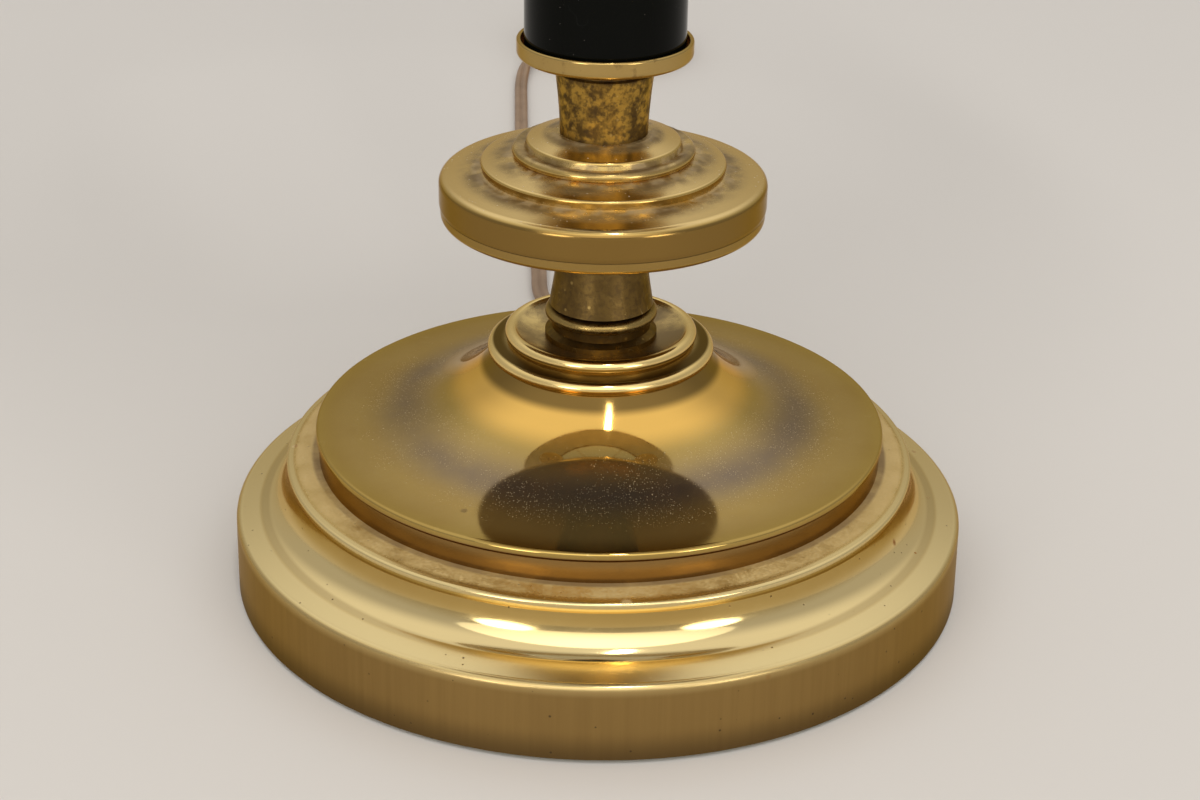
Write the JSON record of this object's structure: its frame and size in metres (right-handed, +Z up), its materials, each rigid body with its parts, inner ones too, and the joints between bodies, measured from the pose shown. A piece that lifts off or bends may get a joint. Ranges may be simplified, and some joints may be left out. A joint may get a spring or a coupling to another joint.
{
  "type": "bouillotte table lamp",
  "caption": "Bouillotte table lamp: turned brass foot and knop, black column, candle arms on a hub with a turn switch, and a sliding, turning metal shade with a finial.",
  "frame": {"origin": "on the table, on the column's axis, at the underside of the felt", "axes": "+Z up along the column; +X towards the right-hand candle arm; the switch and the thumbscrew face -Y, the front; the lead leaves towards +Y"},
  "size_m": [0.3383, 0.6567, 0.5988],
  "materials": {
    "polished_brass": "polished, with light tarnish",
    "aged_brass": "satin, mottled with patina",
    "contact_brass": "bright, plain",
    "weight_iron": "rough casting",
    "zinc_steel": "zinc plated",
    "column_lacquer": "gloss black lacquer",
    "shade_paint": "satin black outside, white inside",
    "felt": "green baize",
    "relief_rubber": "matt black",
    "moulded_black": "moulded phenolic",
    "candle_ivory": "ivory sleeve with soft sheen",
    "lead_vinyl": "tan vinyl twin lead",
    "bulb_glass": "clear",
    "mount_glass": "clear stem with wires"
  },
  "bodies": {
    "lamp": {"felt_pad": "felt", "base_ring": "polished_brass", "base_weight": "weight_iron", "base_washer": "zinc_steel", "base_nut": "zinc_steel", "cord_bushing": "relief_rubber", "base_dome": "polished_brass", "dome_cap": "polished_brass", "lower_neck": "aged_brass", "knop_plate": "polished_brass", "knop_shell": "polished_brass", "upper_neck": "aged_brass", "lower_ferrule": "polished_brass", "column_tube": "column_lacquer", "upper_ferrule": "polished_brass", "hub_neck": "polished_brass", "stack_pipe": "zinc_steel", "hub_body": "polished_brass", "hub_nut": "zinc_steel", "hub_cover": "polished_brass", "switch_body": "moulded_black", "switch_nut": "polished_brass", "arm_left": "polished_brass", "arm_right": "polished_brass", "arm_nuts": "zinc_steel", "drip_pan_left": "polished_brass", "drip_pan_right": "polished_brass", "candle_cup_left": "polished_brass", "candle_cup_right": "polished_brass", "candle_sleeve_left": "candle_ivory", "candle_sleeve_right": "candle_ivory", "socket_brackets": "zinc_steel", "socket_body_left": "moulded_black", "socket_body_right": "moulded_black", "socket_shells": "contact_brass", "shade_rod": "polished_brass", "inner_lead": "lead_vinyl", "arm_wires": "lead_vinyl", "cord_run": "lead_vinyl", "cord_coil": "lead_vinyl", "cord_tail": "lead_vinyl", "cord_tie": "moulded_black", "plug_body": "moulded_black", "plug_blades": "contact_brass"},
    "switch": {"switch_shaft": "zinc_steel", "switch_knob": "polished_brass"},
    "bulb_left": {"bulb_cap_left": "contact_brass", "bulb_mount_left": "mount_glass", "bulb_glass_left": "bulb_glass"},
    "bulb_right": {"bulb_cap_right": "contact_brass", "bulb_mount_right": "mount_glass", "bulb_glass_right": "bulb_glass"},
    "collar": {"shade_collar": "polished_brass"},
    "thumbscrew": {"thumbscrew": "polished_brass"},
    "shade": {"shade_spider": "polished_brass", "shade_shell": "shade_paint", "shade_top_band": "polished_brass", "shade_bottom_band": "polished_brass"},
    "finial": {"finial": "polished_brass"}
  },
  "joints": [
    {"name": "collar_slide", "type": "slide", "parent": "lamp", "child": "collar", "axis": [0, 0, 1], "range_m": [-0.155, 0.02]},
    {"name": "shade_turn", "type": "hinge", "parent": "collar", "child": "shade", "pos_m": [0, 0, 0.5333], "axis": [0, 0, 1], "continuous": true},
    {"name": "thumbscrew_turn", "type": "hinge", "parent": "collar", "child": "thumbscrew", "pos_m": [0, 0, 0.5207], "axis": [0, -1, 0], "range_deg": [0, 720]},
    {"name": "switch_turn", "type": "hinge", "parent": "lamp", "child": "switch", "pos_m": [0, 0, 0.3323], "axis": [0, -1, 0], "continuous": true},
    {"name": "bulb_left_turn", "type": "hinge", "parent": "lamp", "child": "bulb_left", "pos_m": [-0.09007, 0, 0.4256], "axis": [0, 0, 1], "range_deg": [0, 1440]},
    {"name": "bulb_right_turn", "type": "hinge", "parent": "lamp", "child": "bulb_right", "pos_m": [0.09007, 0, 0.4256], "axis": [0, 0, 1], "range_deg": [0, 1440]},
    {"name": "finial_turn", "type": "hinge", "parent": "lamp", "child": "finial", "pos_m": [0, 0, 0.5627], "axis": [0, 0, 1], "range_deg": [0, 1440]}
  ]
}
